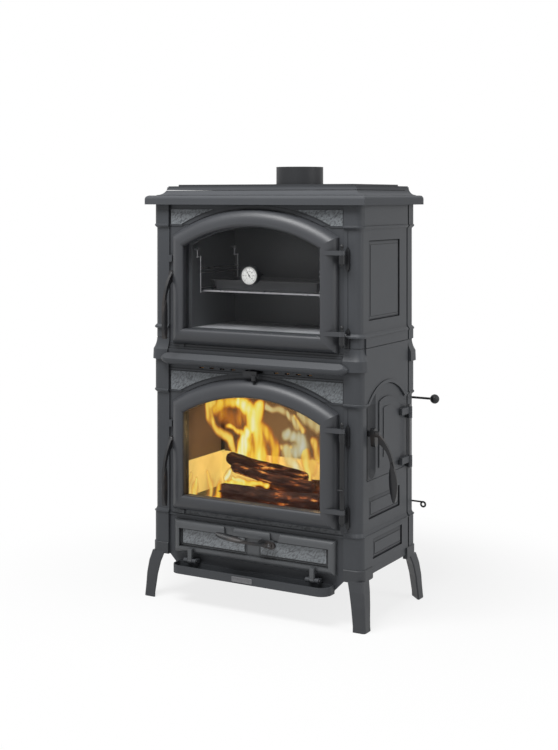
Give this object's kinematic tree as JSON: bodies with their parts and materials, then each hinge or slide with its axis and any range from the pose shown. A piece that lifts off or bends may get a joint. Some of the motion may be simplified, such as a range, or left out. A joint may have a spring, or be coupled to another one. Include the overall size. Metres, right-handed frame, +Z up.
{
  "type": "cast iron range cooker",
  "caption": "Tall free-standing cast iron wood-burning range with a glazed fire door, a glazed oven door above it, a side loading door, an ash door and a flue collar on the hob plate.",
  "frame": {"origin": "middle of the object's bounding box, on the floor", "axes": "+X to the right seen from the front, +Y to the back, +Z up"},
  "size_m": [0.824, 0.4684, 1.345],
  "materials": {
    "iron": "satin grey paint on a slightly rough casting",
    "black_iron": "satin black paint on a casting",
    "black_steel": "satin black paint",
    "steel": "plain bright steel",
    "wire": "plated wire",
    "oven_steel": "dark enamelled sheet",
    "heat_steel": "heat-browned sheet",
    "firebrick": "pale porous refractory",
    "seal_rope": "braided glass-fibre rope",
    "door_glass": "clear ceramic glass"
  },
  "bodies": {
    "stove": {"leg_front_left": "iron", "leg_front_right": "iron", "leg_rear_left": "iron", "leg_rear_right": "iron", "foot_frame": "iron", "plinth": "iron", "ash_front": "iron", "ash_lip": "iron", "ash_pan": "steel", "ash_hinge_pins": "steel", "lower_front": "iron", "front_rail": "iron", "lower_side_left": "iron", "lower_side_right": "iron", "lower_back": "iron", "firebox_floor": "iron", "firebrick_left": "firebrick", "firebrick_right": "firebrick", "firebrick_back": "firebrick", "liner_plates": "heat_steel", "baffle_plate": "heat_steel", "tie_rods": "steel", "side_hinge_pin": "steel", "fire_hinge_rod": "black_steel", "mid_plate": "iron", "upper_front": "iron", "upper_side_left": "iron", "upper_side_right": "iron", "upper_back": "iron", "oven_box": "oven_steel", "oven_floor_slabs": "firebrick", "oven_rack_left": "wire", "oven_rack_right": "wire", "oven_shelf": "wire", "oven_hinge_pins": "black_steel", "top_plate": "iron", "hob_plate": "iron", "flue_collar": "iron"},
    "oven_door": {"oven_door_frame": "iron", "oven_door_glass": "door_glass", "oven_door_seal": "seal_rope", "oven_door_clips": "steel", "thermometer_case": "black_steel"},
    "oven_handle": {"oven_door_handle": "black_iron"},
    "thermometer_hand": {"thermometer_pointer": "black_steel"},
    "fire_door": {"fire_door_frame": "iron", "fire_door_glass": "door_glass", "fire_door_seal": "seal_rope", "fire_door_clips": "steel"},
    "fire_handle": {"fire_door_handle": "black_iron"},
    "side_door": {"side_door": "iron", "side_door_seal": "seal_rope"},
    "side_handle": {"side_door_handle": "black_iron"},
    "ash_door": {"ash_door": "iron"},
    "ash_handle": {"ash_door_handle": "black_iron"},
    "air_slider": {"air_slider": "black_steel"},
    "air_register": {"register_plate": "iron", "register_rod": "black_steel"},
    "grate": {"riddling_grate": "iron", "shaker_rod": "black_steel"}
  },
  "joints": [
    {"name": "oven_door_hinge", "type": "hinge", "parent": "stove", "child": "oven_door", "pos_m": [0.284, -0.19025, 1.004], "axis": [0, 0, 1], "range_deg": [0, 120]},
    {"name": "oven_handle_turn", "type": "hinge", "parent": "oven_door", "child": "oven_handle", "pos_m": [-0.314, -0.18225, 1.0125], "axis": [0, 1, 0], "range_deg": [0, 75]},
    {"name": "thermometer_turn", "type": "hinge", "parent": "oven_door", "child": "thermometer_hand", "pos_m": [-0.027, -0.19225, 1.0135], "axis": [0, 1, 0], "range_deg": [0, 240]},
    {"name": "fire_door_hinge", "type": "hinge", "parent": "stove", "child": "fire_door", "pos_m": [0.284, -0.19025, 0.49], "axis": [0, 0, 1], "range_deg": [0, 120]},
    {"name": "fire_handle_turn", "type": "hinge", "parent": "fire_door", "child": "fire_handle", "pos_m": [-0.314, -0.18225, 0.4985], "axis": [0, 1, 0], "range_deg": [0, 75]},
    {"name": "side_door_hinge", "type": "hinge", "parent": "stove", "child": "side_door", "pos_m": [0.346, 0.14575, 0.52], "axis": [0, 0, 1], "range_deg": [0, 100]},
    {"name": "side_handle_turn", "type": "hinge", "parent": "side_door", "child": "side_handle", "pos_m": [0.343, -0.10425, 0.558], "axis": [1, 0, 0], "range_deg": [0, 60]},
    {"name": "ash_door_hinge", "type": "hinge", "parent": "stove", "child": "ash_door", "pos_m": [-0.027, -0.18825, 0.13], "axis": [1, 0, 0], "range_deg": [0, 90]},
    {"name": "ash_handle_turn", "type": "hinge", "parent": "ash_door", "child": "ash_handle", "pos_m": [0.041, -0.18625, 0.213], "axis": [0, 1, 0], "range_deg": [0, 80]},
    {"name": "air_slide", "type": "slide", "parent": "stove", "child": "air_slider", "axis": [1, 0, 0], "range_m": [0, 0.018]},
    {"name": "air_register_slide", "type": "slide", "parent": "stove", "child": "air_register", "axis": [1, 0, 0], "range_m": [0, 0.03]},
    {"name": "grate_slide", "type": "slide", "parent": "stove", "child": "grate", "axis": [1, 0, 0], "range_m": [-0.015, 0.015]}
  ]
}
